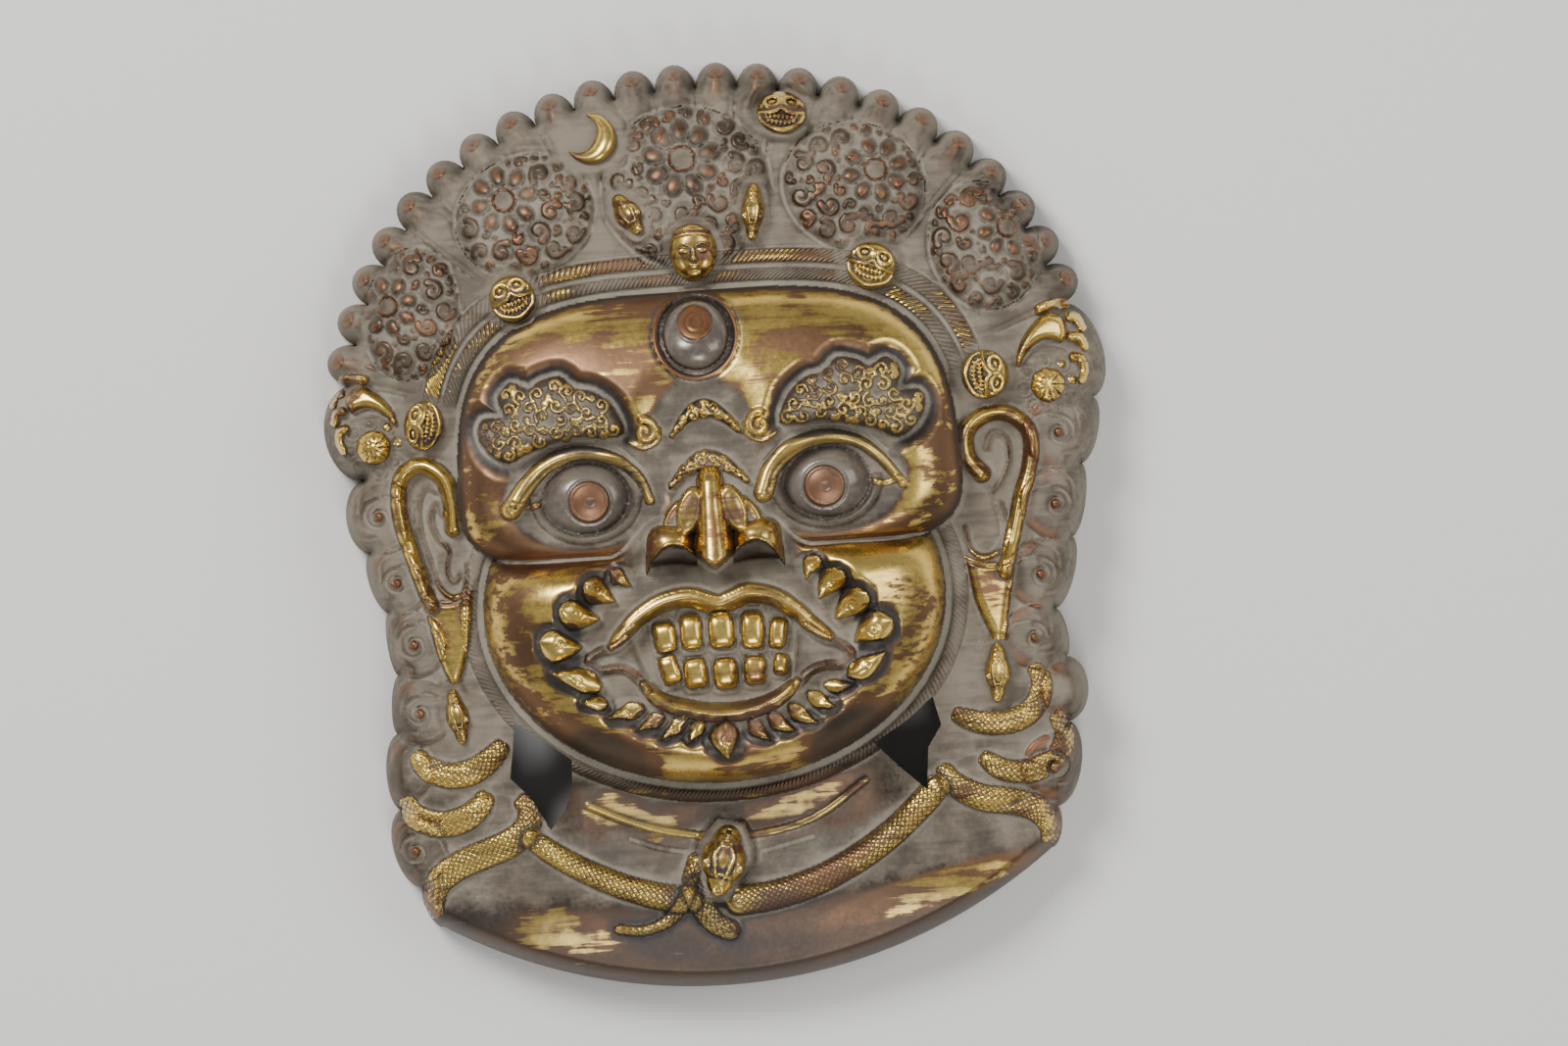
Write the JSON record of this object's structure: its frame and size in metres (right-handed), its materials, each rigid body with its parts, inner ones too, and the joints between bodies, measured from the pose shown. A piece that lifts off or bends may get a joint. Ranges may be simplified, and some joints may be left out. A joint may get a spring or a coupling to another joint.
{
  "type": "repousse copper deity mask",
  "caption": "Fierce three-eyed guardian deity's mask raised from sheet copper: scalloped crown with skulls and serpents, fanged mouth, long-lobed ears, snake necklace, hollow open back.",
  "frame": {"origin": "under the middle of the mask's box, in the plane of the rim it lies on", "axes": "+Z out of the face, +Y towards the crown, +X to the viewer's right when the face is seen from the front with the crown up"},
  "size_m": [0.4, 0.47, 0.1243],
  "materials": {
    "grimed_gilt_copper": "worn, streaked gilding over hammered copper, with smoke and dust in its grounds and grooves",
    "skull_crown_gilt": "worn mercury gilding over copper, dark grime in the hollows",
    "skull_brow_left_gilt": "worn mercury gilding over copper, dark grime in the hollows",
    "skull_brow_right_gilt": "worn mercury gilding over copper, dark grime in the hollows",
    "skull_temple_left_gilt": "worn mercury gilding over copper, dark grime in the hollows",
    "skull_temple_right_gilt": "worn mercury gilding over copper, dark grime in the hollows",
    "small_head_gilt": "worn mercury gilding over copper",
    "crescent_moon_gilt": "worn bright gilding, brushed by wear",
    "serpent_head_crown_left_gilt": "worn mercury gilding, brown where the copper shows",
    "serpent_head_crown_right_gilt": "worn mercury gilding, brown where the copper shows",
    "serpent_head_ear_left_gilt": "worn mercury gilding, brown where the copper shows",
    "serpent_head_ear_right_gilt": "worn mercury gilding, brown where the copper shows",
    "serpent_head_necklace_gilt": "worn mercury gilding, brown where the copper shows"
  },
  "bodies": {
    "root": {"mask_sheet": "grimed_gilt_copper", "skull_crown": "skull_crown_gilt", "skull_brow_left": "skull_brow_left_gilt", "skull_brow_right": "skull_brow_right_gilt", "skull_temple_left": "skull_temple_left_gilt", "skull_temple_right": "skull_temple_right_gilt", "small_head": "small_head_gilt", "crescent_moon": "crescent_moon_gilt", "serpent_head_crown_left": "serpent_head_crown_left_gilt", "serpent_head_crown_right": "serpent_head_crown_right_gilt", "serpent_head_ear_left": "serpent_head_ear_left_gilt", "serpent_head_ear_right": "serpent_head_ear_right_gilt", "serpent_head_necklace": "serpent_head_necklace_gilt"}
  },
  "joints": []
}
